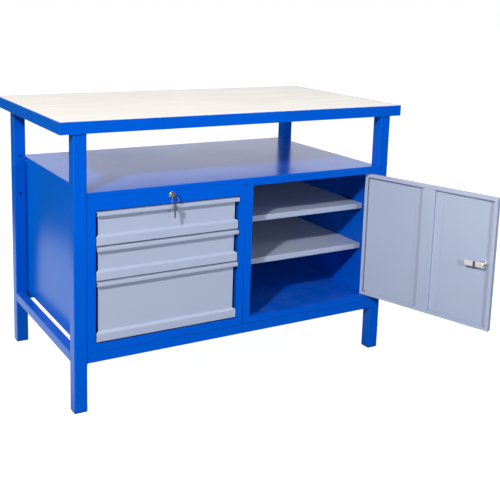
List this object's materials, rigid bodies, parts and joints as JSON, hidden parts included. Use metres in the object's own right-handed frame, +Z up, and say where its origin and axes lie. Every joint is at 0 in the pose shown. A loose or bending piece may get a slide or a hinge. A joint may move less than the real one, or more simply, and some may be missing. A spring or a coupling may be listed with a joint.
{
  "type": "workbench",
  "caption": "Steel workbench with a plywood top in an angle edge, tube legs, a lockable drawer unit and a shelved cupboard with a hinged, cam-locked door.",
  "frame": {"origin": "middle of the underside of the front left foot, on the floor", "axes": "+X along the bench towards the cupboard, +Y from the front to the back, +Z up"},
  "size_m": [1.24, 1.0741, 0.86],
  "materials": {
    "blue_paint": "satin powder coat",
    "grey_paint": "satin powder coat",
    "plywood": "sanded, clear sealed",
    "black_plastic": "moulded, matte",
    "zinc_steel": "bright zinc plated",
    "chrome": "polished",
    "key_steel": "stamped nickel-plated steel"
  },
  "bodies": {
    "bench": {"leg_front_left": "blue_paint", "foot_front_left": "black_plastic", "leg_front_right": "blue_paint", "foot_front_right": "black_plastic", "leg_rear_left": "blue_paint", "foot_rear_left": "black_plastic", "leg_rear_right": "blue_paint", "foot_rear_right": "black_plastic", "stretcher_front": "blue_paint", "stretcher_rear": "blue_paint", "stretcher_left": "blue_paint", "stretcher_right": "blue_paint", "worktop_frame": "blue_paint", "worktop_board": "plywood", "cabinet_top": "blue_paint", "drawer_unit_left_panel": "blue_paint", "drawer_unit_right_panel": "blue_paint", "drawer_unit_back_panel": "blue_paint", "drawer_unit_floor": "blue_paint", "drawer_unit_front_frame": "blue_paint", "cupboard_left_panel": "blue_paint", "cupboard_right_panel": "blue_paint", "cupboard_back_panel": "blue_paint", "cupboard_floor": "blue_paint", "cupboard_front_frame": "blue_paint", "shelf_upper": "grey_paint", "shelf_upper_bracket_left": "zinc_steel", "shelf_upper_bracket_right": "zinc_steel", "shelf_lower": "grey_paint", "shelf_lower_bracket_left": "zinc_steel", "shelf_lower_bracket_right": "zinc_steel", "drawer_upper_runner_left": "zinc_steel", "drawer_upper_runner_right": "zinc_steel", "drawer_middle_runner_left": "zinc_steel", "drawer_middle_runner_right": "zinc_steel", "drawer_lower_runner_left": "zinc_steel", "drawer_lower_runner_right": "zinc_steel", "drawer_lock_body": "chrome"},
    "drawer_upper": {"drawer_upper_front": "grey_paint", "drawer_upper_tray": "grey_paint", "drawer_upper_rail_left": "zinc_steel", "drawer_upper_rail_right": "zinc_steel"},
    "drawer_middle": {"drawer_middle_front": "grey_paint", "drawer_middle_tray": "grey_paint", "drawer_middle_rail_left": "zinc_steel", "drawer_middle_rail_right": "zinc_steel"},
    "drawer_lower": {"drawer_lower_front": "grey_paint", "drawer_lower_tray": "grey_paint", "drawer_lower_rail_left": "zinc_steel", "drawer_lower_rail_right": "zinc_steel"},
    "door": {"door_panel": "grey_paint", "door_stiffener": "grey_paint", "door_lock_body": "chrome", "hinge_pin_upper": "zinc_steel", "hinge_pin_lower": "zinc_steel"},
    "door_cam": {"door_lock_cam": "chrome"},
    "drawer_lock": {"drawer_lock_core": "chrome", "drawer_key": "key_steel"},
    "key_ring": {"key_ring": "chrome"},
    "spare_key": {"spare_key": "key_steel"}
  },
  "joints": [
    {"name": "drawer_upper_slide", "type": "slide", "parent": "bench", "child": "drawer_upper", "axis": [0, -1, 0], "range_m": [0, 0.42]},
    {"name": "drawer_middle_slide", "type": "slide", "parent": "bench", "child": "drawer_middle", "axis": [0, -1, 0], "range_m": [0, 0.42]},
    {"name": "drawer_lower_slide", "type": "slide", "parent": "bench", "child": "drawer_lower", "axis": [0, -1, 0], "range_m": [0, 0.42]},
    {"name": "door_hinge", "type": "hinge", "parent": "bench", "child": "door", "pos_m": [1.033, -0.012, 0.416], "axis": [0, 0, 1], "range_deg": [-107.4, 3]},
    {"name": "door_cam_turn", "type": "hinge", "parent": "door", "child": "door_cam", "pos_m": [1.14912, -0.42937, 0.412], "axis": [-0.9542, -0.299, 0], "range_deg": [0, 180]},
    {"name": "drawer_lock_turn", "type": "hinge", "parent": "bench", "child": "drawer_lock", "pos_m": [0.283, -0.02, 0.628], "axis": [0, 1, 0], "range_deg": [0, 90]},
    {"name": "key_ring_swing", "type": "hinge", "parent": "drawer_lock", "child": "key_ring", "pos_m": [0.283, -0.0435, 0.62595], "axis": [1, 0, 0], "range_deg": [-50, 4]},
    {"name": "spare_key_swing", "type": "hinge", "parent": "key_ring", "child": "spare_key", "pos_m": [0.283, -0.0435, 0.60445], "axis": [1, 0, 0], "range_deg": [-40, 4]}
  ]
}
